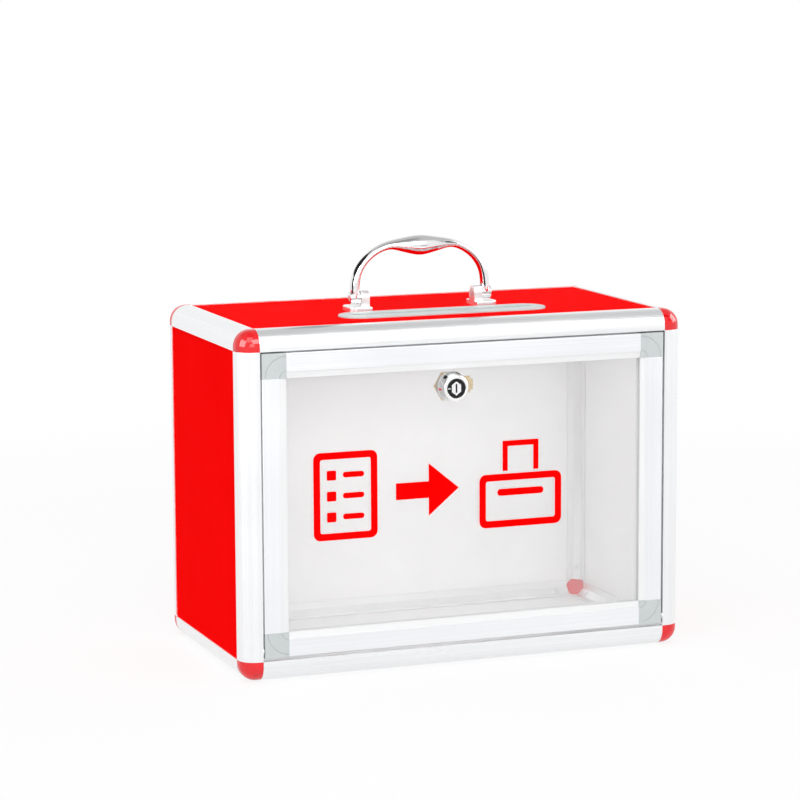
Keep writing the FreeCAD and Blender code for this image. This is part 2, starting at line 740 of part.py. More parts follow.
bracket_shape = fuse("right bracket blank", [
    base_body, foot,
    box("right bracket ear", (d.ear_thickness, 2 * d.ear_radius, pivot_up),
        (ear_near, case_middle - d.ear_radius, top_face)),
    rod("right bracket top", d.ear_radius, d.ear_thickness, (ear_near, case_middle, handle_z), "x")])
bracket_tools = [
    rod("right bracket pin hole", pin_bore, d.ear_thickness, (ear_near, case_middle, handle_z), "x"),
    rod("right bracket head room", d.handle_pin_head_radius + d.handle_pin_play, d.handle_pin_head,
        (ear_near, case_middle, handle_z), "x")]
for order, spot in enumerate(screw_spots):
    bracket_tools.append(rod("right bracket screw hole %d" % order, screw_bore,
                             d.screw_bite + d.screw_play, (handle_x + spot, case_middle, top_face)))
bracket = node(cut("right_handle_bracket", bracket_shape, bracket_tools), "right_handle_bracket")
node(mirror("left_handle_bracket", bracket, RIGHT, handle_x), "left_handle_bracket")

screws = []
for order, spot in enumerate(screw_spots):
    under = top_face - thick
    screws.append(fuse("bracket screw %d" % order, [
        rod("bracket screw shank %d" % order, d.screw_radius, thick + d.screw_bite,
            (handle_x + spot, case_middle, under)),
        rod("bracket screw head %d" % order, d.screw_head_radius, d.screw_head,
            (handle_x + spot, case_middle, under - d.screw_head))]))
right_screws = group("right bracket screws", screws)
left_screws = mirror("left bracket screws", right_screws, RIGHT, handle_x)
node(group("bracket_screws", [right_screws, left_screws]), "bracket_screws")

pin_length = d.ear_thickness + d.ear_gap + d.hub_width
handle_pin = fuse("right_handle_pin", [
    rod("handle pin shank", d.handle_pin_radius, pin_length, (ear_near, case_middle, handle_z), "x"),
    rod("handle pin head", d.handle_pin_head_radius, d.handle_pin_head,
        (ear_near, case_middle, handle_z), "x")])
node(handle_pin, "right_handle_pin")
node(mirror("left_handle_pin", handle_pin, RIGHT, handle_x), "left_handle_pin")

# Handle: a loft through oval sections from hub to hub. Each station gives its
# place as shares of half the span and of the rise, its height, its width and the slope
# of the strap there. The top line is smooth, and the grip swells downward.

half_span = d.handle_span / 2
STATIONS = [
    (1.000, 0.000, d.hub_width, 2 * d.hub_radius, -90),
    (0.996, 0.139, d.hub_width * 0.90, d.strap_width, -87),
    (0.984, 0.328, d.strap_height * 1.24, d.strap_width, -78),
    (0.937, 0.532, d.strap_height * 1.05, d.strap_width, -63),
    (0.844, 0.725, d.strap_height, d.strap_width, -47),
    (0.705, 0.886, d.strap_height, d.strap_width * 1.04, -32),
    (0.472, 1.014, d.strap_height * 1.20, d.grip_width * 0.70, -12),
    (0.304, 1.019, d.grip_height * 0.66, d.grip_width * 0.84, 1),
    (0.157, 1.009, d.grip_height * 0.87, d.grip_width * 0.95, 2),
    (0.000, 1.000, d.grip_height, d.grip_width, 0),
]
BOTH_SIDES = [(-x, z, tall, wide, -slope) for x, z, tall, wide, slope in STATIONS]
BOTH_SIDES += STATIONS[-2::-1]
sections = []
for order, (across, up, tall, wide, slope) in enumerate(BOTH_SIDES):
    section = new("Sketcher::SketchObject", "handle section %d" % order)
    oval(section, wide, tall)
    angle = math.radians(slope)
    along = V(math.cos(angle), 0, math.sin(angle))
    turn = FreeCAD.Rotation(BACK, along.cross(BACK), along, "XYZ")
    place(section, (handle_x + half_span * across, case_middle, handle_z + d.handle_rise * up), turn)
    sections.append(section)
strap = new("Part::Loft", "handle strap")
strap.Sections = sections
strap.Solid = True
hubs = []
bores = []
for side, start in (("left", handle_x - hub_inner - d.hub_width), ("right", handle_x + hub_inner)):
    hubs.append(rod("handle %s hub" % side, d.hub_radius, d.hub_width, (start, case_middle, handle_z), "x"))
    bores.append(rod("handle %s bore" % side, pin_bore, d.hub_width + 2 * d.ear_gap,
                     (start - d.ear_gap, case_middle, handle_z), "x"))
node(cut("handle", fuse("handle blank", [strap] + hubs), bores), "handle")

# Door frame. Bars are drawn with the outer edge of the door at zero, the front at zero depth.

wall = d.door_wall
door_half = half_width - leg - d.door_side_gap
door_low = leg + d.door_bottom_gap
door_high = d.case_height - leg - d.door_top_gap
door_middle = (door_low + door_high) / 2
groove_back = d.pane_setback + d.pane_thickness + d.pane_play
groove_deep = d.door_bar - d.pane_grip
bead_at = d.door_bar - d.bead_width
bar_outer = [
    (0, d.door_edge), (d.door_edge, 0), (bead_at, 0), (bead_at, d.bead_drop),
    (d.door_bar, d.bead_drop + d.bead_slope), (d.door_bar, d.pane_setback),
    (groove_deep, d.pane_setback), (groove_deep, groove_back), (d.door_bar, groove_back),
    (d.door_bar, d.door_thickness), (0, d.door_thickness)]
hollow_side = groove_deep - wall
hollow_deep = d.door_thickness - wall
bar_inner = [(wall, wall), (hollow_side, wall), (hollow_side, hollow_deep), (wall, hollow_deep)]
upright = door_high - door_low - 2 * d.door_bar
across = 2 * (door_half - d.door_bar)
left_bar = place(bar("door_left_bar", upright, bar_outer, bar_inner),
                 (-door_half, front, door_low + d.door_bar))
node(left_bar, "door_left_bar")
node(mirror("door_right_bar", left_bar, RIGHT), "door_right_bar")
low_bar = place(bar("door_bottom_bar", across, bar_outer, bar_inner),
                (door_half - d.door_bar, front, door_low), turned(UP, BACK, LEFT))
node(low_bar, "door_bottom_bar")
node(mirror("door_top_bar", low_bar, UP, door_middle), "door_top_bar")

# Door corner blocks with a leg in each bar

leg_low = wall + d.block_play
leg_side = hollow_side - d.block_play - leg_low
leg_deep = hollow_deep - d.block_play - leg_low
leg_whole = d.block_leg + 1
bar_less = d.door_bar - 1
block_shape = fuse("door block blank", [
    box("door block body", (d.door_bar, d.door_thickness, d.door_bar)),
    box("door block leg x", (leg_whole, leg_deep, leg_side), (bar_less, leg_low, leg_low)),
    box("door block leg z", (leg_side, leg_deep, leg_whole), (leg_low, leg_low, bar_less))])
rings = []
for name, radius in (("large", d.arc_outer), ("small", d.arc_inner)):
    at = (d.door_bar, 0, d.door_bar)
    rings.append(cut("door block %s arc" % name,
                     rod("door block %s arc outside" % name, radius + d.arc_line, d.arc_depth, at, "y"),
                     [rod("door block %s arc inside" % name, radius, d.arc_depth, at, "y")]))
pane_room = box("door block pane room", (d.pane_grip, groove_back - d.pane_setback, d.pane_grip),
                (groove_deep, d.pane_setback, groove_deep))
block = cut("door block", block_shape, rings + [pane_room])
bore = rod("door block pivot bore", pivot_bore, d.pivot_reach + d.pivot_end_gap,
           (0, pivot_depth, d.pivot_up), "x")
low_block = place(cut("door_left_bottom_block", block, [bore]), (-door_half, front, door_low))
node(low_block, "door_left_bottom_block")
node(mirror("door_right_bottom_block", low_block, RIGHT), "door_right_bottom_block")
block_placed = place(group("door block placed", [block]), (-door_half, front, door_low))
high_block = node(mirror("door_left_top_block", block_placed, UP, door_middle), "door_left_top_block")
node(mirror("door_right_top_block", high_block, RIGHT), "door_right_top_block")

pin_start = -half_width + leg
pin_shank = d.pivot_anchor + d.door_side_gap + d.pivot_reach
door_pin = fuse("left_door_pin", [
    rod("door pin shank", d.pivot_radius, pin_shank,
        (pin_start - d.pivot_anchor, front + pivot_depth, pivot_z), "x"),
    rod("door pin collar", d.collar_radius, d.collar_width,
        (pin_start, front + pivot_depth, pivot_z), "x")])
node(door_pin, "left_door_pin")
node(mirror("right_door_pin", door_pin, RIGHT), "right_door_pin")

lock_x = -d.lock_offset
lock_z = door_high - d.lock_drop
pane_front = front + d.pane_setback
pane_inset = groove_deep + d.pane_edge_gap
sheet_pane = box("pane sheet", (2 * (door_half - pane_inset), d.pane_thickness,
                                door_high - door_low - 2 * pane_inset),
                 (pane_inset - door_half, pane_front, door_low + pane_inset))
pane_hole = rod("pane lock hole", d.barrel_radius + d.barrel_play, 3 * d.pane_thickness,
                (lock_x, pane_front - d.pane_thickness, lock_z), "y")
node(cut("door_pane", sheet_pane, [pane_hole]), "door_pane")

# Lock. Drawn along its own +Z, which points out of the door, from the front of the pane.

OUT = ALONG["-y"]
lock_at = (lock_x, pane_front, lock_z)
nut_back = d.pane_thickness + d.washer_thickness + d.nut_height
barrel_end = nut_back + d.barrel_spare
plug_bore = d.plug_radius + d.plug_play
housing = new("PartDesign::Body", "lock_housing")
housing_sketch = sketch_in(housing, "housing_section", "XZ_Plane")
outline(housing_sketch, [
    (plug_bore, -barrel_end), (d.barrel_radius, -barrel_end), (d.barrel_radius, 0),
    (d.flange_radius, 0), (d.flange_radius, d.flange_height),
    (d.bezel_radius + d.bezel_edge / 2, d.bezel_height - d.bezel_edge),
    (d.bezel_radius - d.bezel_edge, d.bezel_height), (plug_bore + d.bezel_edge / 2, d.bezel_height),
    (plug_bore, d.bezel_height - d.bezel_edge)])
spin = housing.newObject("PartDesign::Revolution", "housing_turned")
spin.Profile = housing_sketch
spin.ReferenceAxis = (housing_sketch, ["V_Axis"])
spin.Angle = 360
place(housing, lock_at, OUT)
node(housing, "lock_housing")

thread_bore = d.barrel_radius + d.thread_play
washer = cut("lock_washer", rod("lock washer disc", d.washer_radius, d.washer_thickness),
             [rod("lock washer hole", thread_bore, d.washer_thickness)])
washer_back = pane_front + d.pane_thickness + d.washer_thickness
node(place(washer, (lock_x, washer_back, lock_z), OUT), "lock_washer")
hexagon = new("Part::Prism", "lock nut blank")
hexagon.Polygon = 6
bind(hexagon, "Circumradius", d.nut_radius)
bind(hexagon, "Height", d.nut_height)
nut = cut("lock_nut", hexagon, [rod("lock nut hole", thread_bore, d.nut_height)])
node(place(nut, (lock_x, pane_front + nut_back, lock_z), OUT), "lock_nut")

plug_top = d.bezel_height - d.plug_sunk
cam_front = barrel_end + d.cam_gap
core_points = [
    (d.core_half_width, -d.core_shoulder), (d.core_half_width, d.core_shoulder),
    (0, d.core_half_height), (-d.core_half_width, d.core_shoulder),
    (-d.core_half_width, -d.core_shoulder), (0, -d.core_half_height)]
core = place(bar("key core", d.core_rise + 1, core_points), (0, 0, plug_top - 1))
tail = box("plug tail", (d.tail_side, d.tail_side, d.cam_thickness + 1),
           (-d.tail_side / 2, -d.tail_side / 2, -cam_front - d.cam_thickness))
plug_shape = fuse("plug blank", [
    rod("plug barrel", d.plug_radius, plug_top + cam_front, (0, 0, -cam_front)), core, tail])
keyway = box("keyway", (d.key_slot_width, d.key_slot_height, d.key_slot_depth),
             (-d.key_slot_width / 2, -d.key_slot_height / 2, plug_top + d.core_rise - d.key_slot_depth))
cam_screw_hole = rod("plug screw hole", d.cam_screw_radius + d.cam_screw_play,
                     d.cam_screw_length + d.cam_gap, (0, 0, -cam_front - d.cam_thickness))
node(place(cut("lock_plug", plug_shape, [keyway, cam_screw_hole]), lock_at, OUT), "lock_plug")

core_room = [
    (d.core_half_width + d.dial_play, -d.core_shoulder - d.dial_play),
    (d.core_half_width + d.dial_play, d.core_shoulder + d.dial_play),
    (0, d.core_half_height + 2 * d.dial_play),
    (-d.core_half_width - d.dial_play, d.core_shoulder + d.dial_play),
    (-d.core_half_width - d.dial_play, -d.core_shoulder - d.dial_play),
    (0, -d.core_half_height - 2 * d.dial_play)]
dial = cut("lock_dial", rod("dial disc", d.plug_radius - d.dial_play, d.dial_thickness, (0, 0, plug_top)),
           [place(bar("dial room", 3 * d.dial_thickness, core_room), (0, 0, plug_top - d.dial_thickness))])
node(place(dial, lock_at, OUT), "lock_dial")

tail_room = d.tail_side + 2 * d.tail_play
cam_radius = d.cam_width / 2
cam_low = -cam_front - d.cam_thickness
cam = cut("lock_cam", fuse("cam blank", [
    rod("cam eye", cam_radius + 1, d.cam_thickness, (0, 0, cam_low)),
    box("cam arm", (d.cam_reach - 2, d.cam_width, d.cam_thickness), (0, -cam_radius, cam_low)),
    box("cam tip", (2, d.cam_width - 4, d.cam_thickness), (d.cam_reach - 2, 2 - cam_radius, cam_low))]),
    [box("cam room", (tail_room, tail_room, 3 * d.cam_thickness),
         (-tail_room / 2, -tail_room / 2, cam_low - d.cam_thickness))])
node(place(cam, lock_at, OUT), "lock_cam")

cam_screw = fuse("lock_cam_screw", [
    rod("cam screw shank", d.cam_screw_radius, d.cam_screw_length, (0, 0, cam_low)),
    rod("cam screw head", d.cam_screw_head_radius, d.cam_screw_head, (0, 0, cam_low - d.cam_screw_head))])
node(place(cam_screw, lock_at, OUT), "lock_cam_screw")

doc.recompute()

for thing in doc.Objects:
    if "Invalid" in thing.State or "Error" in thing.State:
        raise RuntimeError("%s is not current: %s" % (thing.Label, thing.State))
for thing in nodes:
    shape = thing.Shape
    if shape.isNull() or not shape.isValid():
        raise RuntimeError("%s has no sound shape" % thing.Label)
os.makedirs("parts", exist_ok=True)
for thing in nodes:
    thing.Shape.exportStep("parts/%s.step" % thing.Label)
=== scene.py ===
import math

import bpy
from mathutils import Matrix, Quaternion, Vector


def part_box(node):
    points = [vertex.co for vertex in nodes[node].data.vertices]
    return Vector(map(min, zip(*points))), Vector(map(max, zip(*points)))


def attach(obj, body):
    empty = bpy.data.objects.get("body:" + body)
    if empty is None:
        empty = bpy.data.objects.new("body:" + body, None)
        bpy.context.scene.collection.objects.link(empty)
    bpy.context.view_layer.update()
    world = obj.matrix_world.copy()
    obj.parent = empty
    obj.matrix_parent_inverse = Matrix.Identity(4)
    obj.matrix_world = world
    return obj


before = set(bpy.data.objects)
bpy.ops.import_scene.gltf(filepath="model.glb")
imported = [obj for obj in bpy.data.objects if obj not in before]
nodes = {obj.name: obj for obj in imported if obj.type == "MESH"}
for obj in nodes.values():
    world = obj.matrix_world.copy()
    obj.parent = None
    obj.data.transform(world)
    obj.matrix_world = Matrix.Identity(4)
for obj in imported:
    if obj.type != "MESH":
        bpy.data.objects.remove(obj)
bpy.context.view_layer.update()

# Looks of the ballot box: satin extrusions, red panels that are pale inside, glossy red
# corner caps, a clear door with a lock, and a plated carrying handle.
# Metres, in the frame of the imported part, apart from the marks.

scene = bpy.context.scene
MM = 0.001
WHITE = (1.0, 1.0, 1.0, 1.0)

# Sockets of a Mix node that mixes colours, and the range that most of a noise lies in
MIX_FACTOR, MIX_FIRST, MIX_SECOND, MIX_COLOUR = 0, 6, 7, 2
NOISE_LOW, NOISE_HIGH = 0.3, 0.7
EDGE_SAMPLES = 4


class Value:
    """A shader socket that can stand in a Python expression."""

    def __init__(self, finish, socket):
        self.finish = finish
        self.socket = socket

    def math(self, operation, *values):
        return self.finish.node("ShaderNodeMath", {"operation": operation}, dict(enumerate(values)))

    def __add__(self, other):
        return self.math("ADD", self, other)

    def __radd__(self, other):
        return self.math("ADD", other, self)

    def __mul__(self, other):
        return self.math("MULTIPLY", self, other)

    def __rmul__(self, other):
        return self.math("MULTIPLY", other, self)

    def at_least(self, low):
        return self.math("MAXIMUM", self, low)

    def at_most(self, high):
        return self.math("MINIMUM", self, high)

    def clamp(self):
        return self.at_least(0.0).at_most(1.0)


class Finish:
    """A material, or the world, under construction."""

    def __init__(self, owner):
        owner.use_nodes = True
        self.owner = owner
        self.tree = owner.node_tree
        self.tree.nodes.clear()

    def node(self, kind, settings=None, inputs=None, output=0):
        """Adds a node, and gives one of its outputs if it has any."""
        made = self.tree.nodes.new(kind)
        for name, value in (settings or {}).items():
            setattr(made, name, value)
        for name, value in (inputs or {}).items():
            if isinstance(value, Value):
                self.tree.links.new(value.socket, made.inputs[name])
            else:
                made.inputs[name].default_value = value
        return Value(self, made.outputs[output]) if len(made.outputs) else made

    def place(self):
        return self.node("ShaderNodeTexCoord", output="Object")

    def noise(self, per_metre, detail=2.0, rough=0.5):
        """Noise with so many grains per metre, one number or three for x, y and z."""
        if isinstance(per_metre, float):
            per_metre = (per_metre,) * 3
        where = self.node("ShaderNodeVectorMath", {"operation": "MULTIPLY"}, {
            0: self.place(), 1: per_metre})
        return self.node("ShaderNodeTexNoise", None, {
            "Vector": where, "Scale": 1.0, "Detail": detail, "Roughness": rough})

    def spread(self, noise, low, high):
        """Brings a noise into the range from low to high."""
        return self.node("ShaderNodeMapRange", None, {
            "Value": noise, "From Min": NOISE_LOW, "From Max": NOISE_HIGH, "To Min": low, "To Max": high})

    def around(self, noise, middle, reach):
        return self.spread(noise, middle - reach, middle + reach)

    def tint(self, noise, low, high):
        """Colour that goes from low to high with a noise."""
        return self.node("ShaderNodeMix", {"data_type": "RGBA"}, {
            MIX_FACTOR: self.spread(noise, 0.0, 1.0),
            MIX_FIRST: low + (1.0,),
            MIX_SECOND: high + (1.0,)}, output=MIX_COLOUR)

    def smooth(self, value, start, end, first, last):
        """Goes smoothly from first at start to last at end."""
        return self.node("ShaderNodeMapRange", {"interpolation_type": "SMOOTHSTEP"}, {
            "Value": value, "From Min": start, "From Max": end, "To Min": first, "To Max": last})

    def bump(self, height, depth, strength, edge_round=None):
        """Fine relief, with edges that look rounded where edge_round gives a radius."""
        inputs = {"Height": height, "Distance": depth, "Strength": strength}
        if edge_round is not None:
            inputs["Normal"] = self.node("ShaderNodeBevel", {"samples": EDGE_SAMPLES}, {
                "Radius": edge_round})
        return self.node("ShaderNodeBump", None, inputs)

    def mixed(self, factor, first, second):
        """The first shader where the factor is 0, the second where it is 1."""
        return self.node("ShaderNodeMixShader", None, {0: factor, 1: first, 2: second})

    def surface(self, inputs):
        self.show(self.node("ShaderNodeBsdfPrincipled", None, inputs))
        return self.owner

    def show(self, shader):
        kind = "ShaderNodeOutputWorld" if self.owner == scene.world else "ShaderNodeOutputMaterial"
        self.node(kind, None, {"Surface": shader})


def finish(name):
    return Finish(bpy.data.materials.new(name))


def darker(colour, share):
    return tuple(part * share for part in colour)


# Finishes

LINES_ACROSS, LINES_ALONG = 1500.0, 3.0
LINE_TONE, HAZE_TONE = 0.93, 0.96
PANE_IOR = 1.49
PANE_GLOSS = 0.8
VEIL_SHARE, VEIL_REACH = 0.10, 0.015


def anodised(name, axis, base, roughness, metallic):
    """Satin extrusion with faint drawing lines along its length."""
    made = finish(name)
    per_metre = [LINES_ACROSS] * 3
    per_metre["xyz".index(axis)] = LINES_ALONG
    lines = made.noise(per_metre, detail=3.0, rough=0.6)
    cloud = made.noise(14.0)
    return made.surface({
        "Base Color": made.tint(lines, darker(base, LINE_TONE), base),
        "Metallic": metallic,
        "Roughness": made.around(lines, 0.0, 0.03) + made.around(cloud, roughness, 0.03),
        "Normal": made.bump(lines, depth=0.012 * MM, strength=0.5, edge_round=0.25 * MM)})


def drawn_along(name, axes, base, roughness, metallic):
    """The same extrusion finish for each direction that a piece runs in."""
    return {axis: anodised("%s_%s" % (name, axis), axis, base, roughness, metallic) for axis in axes}


def red_moulding(name, low, high):
    """Glossy coloured plastic of the corner caps."""
    made = finish(name)
    cloud = made.noise(60.0)
    ripple = made.noise(420.0, detail=1.0)
    return made.surface({
        "Base Color": made.tint(cloud, low, high),
        "Roughness": made.spread(cloud, 0.40, 0.48),
        "Specular IOR Level": 0.0,
        "Coat Weight": 1.0,
        "Coat Roughness": 0.03,
        "Coat IOR": 1.55,
        "Normal": made.bump(ripple, depth=0.012 * MM, strength=0.3, edge_round=0.4 * MM)})


def sheet_face(name, low, high, clouds, roughness, specular):
    """Even film on a face of the panels, with a very slight orange peel."""
    made = finish(name)
    cloud = made.noise(clouds, detail=3.0)
    peel = made.noise(700.0, detail=1.0)
    return made.surface({
        "Base Color": made.tint(cloud, low, high),
        "Roughness": made.spread(cloud, *roughness),
        "Specular IOR Level": specular,
        "Normal": made.bump(peel, depth=0.01 * MM, strength=0.35)})


def grey_moulding(name, low, high, roughness):
    """Satin moulded plastic with a fine eroded texture."""
    made = finish(name)
    cloud = made.noise(40.0)
    grain = made.noise(2600.0)
    return made.surface({
        "Base Color": made.tint(grain, low, high),
        "Roughness": made.around(cloud, roughness, 0.05),
        "Normal": made.bump(grain, depth=0.02 * MM, strength=0.5, edge_round=0.3 * MM)})


def plated(name, base, roughness):
    """Polished plating with slight waviness and handling haze."""
    made = finish(name)
    haze = made.noise(90.0, detail=3.0)
    wave = made.noise(160.0, detail=1.0)
    return made.surface({
        "Base Color": made.tint(haze, darker(base, HAZE_TONE), base),
        "Metallic": 1.0,
        "Roughness": made.spread(haze, roughness, roughness + 0.04),
        "Normal": made.bump(wave, depth=0.02 * MM, strength=0.3, edge_round=0.3 * MM)})


def turned_metal(name, low, high, roughness):
    """Machined or zinc-plated small parts."""
    made = finish(name)
    marks = made.noise(900.0)
    return made.surface({
        "Base Color": made.tint(marks, low, high),
        "Metallic": 1.0,
        "Roughness": made.spread(marks, roughness - 0.05, roughness + 0.08),
        "Normal": made.bump(marks, depth=0.02 * MM, strength=0.4, edge_round=0.2 * MM)})


def black_moulding(name, low, high):
    """Satin black plastic of the dial."""
    made = finish(name)
    grain = made.noise(1800.0)
    return made.surface({
        "Base Color": made.tint(grain, low, high),
        "Roughness": made.spread(grain, 0.34, 0.46),
        "Specular IOR Level": 0.15,
        "Normal": made.bump(grain, depth=0.01 * MM, strength=0.4, edge_round=0.15 * MM)})


def clear_sheet(name):
    """Clear pane: see-through, with a thin milky veil and gloss that grows at low angles."""
    made = finish(name)
    dust = made.noise(35.0, detail=4.0, rough=0.6)
    fresnel = made.node("ShaderNodeFresnel", None, {"IOR": PANE_IOR})
    see_through = made.node("ShaderNodeBsdfTransparent", None, {"Color": (0.985, 0.99, 0.99, 1)})
    veil = made.node("ShaderNodeBsdfPrincipled", None, {
        "Base Color": (0.92, 0.92, 0.925, 1),
        "Roughness": 0.7,
        "Specular IOR Level": 0.0})
    gloss = made.node("ShaderNodeBsdfPrincipled", None, {
        "Base Color": (0.95, 0.96, 0.96, 1),
        "Metallic": 1.0,
        "Roughness": made.spread(dust, 0.02, 0.06)})
    veiled = made.mixed(made.around(dust, VEIL_SHARE, VEIL_REACH), see_through, veil)
    made.show(made.mixed((fresnel * PANE_GLOSS).clamp(), veiled, gloss))
    return made.owner


extrusions = drawn_along("satin_extrusion", "xyz", (0.90, 0.91, 0.92), roughness=0.30, metallic=0.95)
door_extrusions = drawn_along("satin_door_bar", "xz", (0.87, 0.88, 0.90), roughness=0.34, metallic=0.9)
# Painted light: a paler, less metallic copy of the extrusion finish for the faces inside the case, lifting
# the shade there
inner_extrusions_painted_light = drawn_along("satin_inner_face_painted_light", "xyz", (0.97, 0.975, 0.98), roughness=0.34, metallic=0.7)
# Painted light: a pale, nearly matt copy of the door bar finish for the faces by the pane and in the
# groove, lifting the shade in the groove
groove_faces_painted_light = drawn_along("pale_groove_face_painted_light", "xz", (0.80, 0.805, 0.81), roughness=0.45, metallic=0.1)
cap_red = red_moulding("red_corner_cap", (0.70, 0.003, 0.007), (0.82, 0.008, 0.014))
panel_red = sheet_face(
    "red_panel_face", (0.95, 0.0, 0.0), (0.99, 0.002, 0.002),
    clouds=18.0, roughness=(0.55, 0.65), specular=0.002)
panel_pale = sheet_face(
    "pale_panel_inside", (0.93, 0.925, 0.925), (0.96, 0.955, 0.955),
    clouds=15.0, roughness=(0.34, 0.42), specular=0.3)
block_grey = grey_moulding("grey_door_block", (0.48, 0.515, 0.515), (0.56, 0.60, 0.60), roughness=0.45)
trim_grey = grey_moulding("pale_slot_trim", (0.50, 0.55, 0.55), (0.57, 0.63, 0.63), roughness=0.38)
chrome = plated("polished_plating", (0.86, 0.86, 0.87), roughness=0.05)
bracket_plating = plated("satin_plating", (0.92, 0.92, 0.925), roughness=0.28)
nickel = plated("pale_nickel", (0.95, 0.95, 0.95), roughness=0.20)
steel = turned_metal("zinc_steel", (0.55, 0.55, 0.56), (0.68, 0.68, 0.69), roughness=0.28)
rivet_steel = turned_metal("bright_rivet_steel", (0.80, 0.80, 0.81), (0.90, 0.90, 0.91), roughness=0.36)
brass = turned_metal("plain_brass", (0.62, 0.42, 0.17), (0.78, 0.56, 0.26), roughness=0.3)
dial_black = black_moulding("black_dial", (0.006, 0.006, 0.007), (0.02, 0.02, 0.022))
pane_clear = clear_sheet("clear_pane")


# Which faces of a node take its second finish


def middle_of(name):
    low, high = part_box(name)
    return (low + high) / 2


CASE_MIDDLE = Vector((0.0, 0.0, middle_of("back_panel").z))
DOOR_MIDDLE = middle_of("door_pane")
LOCK_MIDDLE = middle_of("lock_dial")
PLUG_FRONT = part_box("lock_plug")[0].y
KEYWAY_HALF_WIDTH = 0.65 * MM
KEYWAY_HALF_HEIGHT = 3.3 * MM
KEYWAY_START, KEYWAY_END = 0.05 * MM, 7.0 * MM
BAR_FRONT_SKIN = 0.5 * MM

# Cosines between a face's normal and a direction
STRAIGHT_ON = 0.9
HALF_TURNED = 0.5
JUST_TOWARDS = 0.1
JUST_AWAY = -0.2


def facing(direction):
    """Picks the flat faces that look in a direction."""
    return lambda centre, normal: normal.dot(direction) > STRAIGHT_ON


def into_case(centre, normal):
    """Picks the faces that look into the case."""
    return normal.dot((CASE_MIDDLE - centre).normalized()) > JUST_TOWARDS


def by_the_pane(bar):
    """Picks the faces of a door bar towards the pane, with its groove, apart from its flat front."""
    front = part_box(bar)[0].y

    def picks(centre, normal):
        inward = Vector((DOOR_MIDDLE.x - centre.x, 0.0, DOOR_MIDDLE.z - centre.z)).normalized()
        on_front = normal.y < -HALF_TURNED and centre.y < front + BAR_FRONT_SKIN
        return normal.dot(inward) > JUST_AWAY and not on_front

    return picks


def in_keyway(centre, normal):
    """Picks the walls of the key slot, whichever way they look."""
    beside = abs(centre.x - LOCK_MIDDLE.x) < KEYWAY_HALF_WIDTH
    level = abs(centre.z - LOCK_MIDDLE.z) < KEYWAY_HALF_HEIGHT
    return beside and level and KEYWAY_START < centre.y - PLUG_FRONT < KEYWAY_END


def dress(name, material, other=None, picks=None):
    """Gives a node its finish, and another one to the faces that are picked."""
    node = nodes[name]
    node.data.materials.clear()
    node.data.materials.append(material)
    if other is not None:
        node.data.materials.append(other)
    for polygon in node.data.polygons:
        picked = picks is not None and picks(node.matrix_world @ polygon.center, polygon.normal)
        polygon.material_index = int(picked)


def hide_from(made, *rays):
    """Leaves an object out of some kinds of rays."""
    for ray in rays:
        setattr(made, "visible_" + ray, False)


INSIDE = {
    "left_panel": Vector((1, 0, 0)),
    "right_panel": Vector((-1, 0, 0)),
    "back_panel": Vector((0, -1, 0)),
    "bottom_panel": Vector((0, 0, 1)),
    "top_panel": Vector((0, 0, -1)),
}
PLAIN_EXTRUSIONS = {
    "left_front_post": "z", "right_front_post": "z",
    "bottom_front_rail": "x", "top_front_rail": "x", "top_back_rail": "x",
    "left_bottom_rail": "y", "left_top_rail": "y", "right_top_rail": "y",
}
SEEN_THROUGH_PANE = {
    "left_back_post": "z", "right_back_post": "z", "bottom_back_rail": "x", "right_bottom_rail": "y",
}
DOOR_BARS = {"door_left_bar": "z", "door_right_bar": "z", "door_bottom_bar": "x", "door_top_bar": "x"}

for name, inward in INSIDE.items():
    dress(name, panel_red, panel_pale, facing(inward))
for name, axis in PLAIN_EXTRUSIONS.items():
    dress(name, extrusions[axis])
# Faces that look into the case take the copy with painted light
for name, axis in SEEN_THROUGH_PANE.items():
    dress(name, extrusions[axis], inner_extrusions_painted_light[axis], into_case)
# Faces by the pane and in the groove take the copy with painted light
for name, axis in DOOR_BARS.items():
    dress(name, door_extrusions[axis], groove_faces_painted_light[axis], by_the_pane(name))
for side in ("left", "right"):
    dress(side + "_handle_bracket", bracket_plating)
    dress(side + "_handle_pin", steel)
    dress(side + "_door_pin", steel)
    for level in ("bottom", "top"):
        dress("%s_front_%s_cap" % (side, level), cap_red)
        dress("%s_back_%s_cap" % (side, level), cap_red)
        dress("door_%s_%s_block" % (side, level), block_grey)
dress("slot_trim", trim_grey)
dress("handle", chrome)
dress("lock_housing", nickel)
dress("lock_plug", nickel, dial_black, in_keyway)
dress("lock_dial", dial_black)
dress("lock_nut", brass)
dress("lock_cam", brass)
for name in ("lock_washer", "lock_cam_screw", "bracket_screws"):
    dress(name, steel)
dress("corner_rivets", rivet_steel)
dress("door_pane", pane_clear)

# The clear pane keeps no light out of the box
hide_from(nodes["door_pane"], "diffuse", "shadow")


# Marks: plain signs on the pane, and ticks on the lock. Millimetres in the frame of the part.

PANE_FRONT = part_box("door_pane")[0].y / MM
DIAL_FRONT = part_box("lock_dial")[0].y / MM
LOCK_X, LOCK_Z = LOCK_MIDDLE.x / MM, LOCK_MIDDLE.z / MM
FILM = 0.2
SIGN_LOW, SIGN_HIGH = 98.0, 161.0
SIGN_MIDDLE = (SIGN_LOW + SIGN_HIGH) / 2
SIGN_WALL = 5.0


def marking(name, solids, material, body):
    """A piece of closed solids, each with its points in millimetres and its faces."""
    points, faces = [], []
    for corners, sides in solids:
        start = len(points)
        points += [tuple(value * MM for value in corner) for corner in corners]
        faces += [tuple(start + index for index in side) for side in sides]
    mesh = bpy.data.meshes.new(name)
    mesh.from_pydata(points, [], faces)
    mesh.materials.append(material)
    made = bpy.data.objects.new(name, mesh)
    scene.collection.objects.link(made)
    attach(made, body)


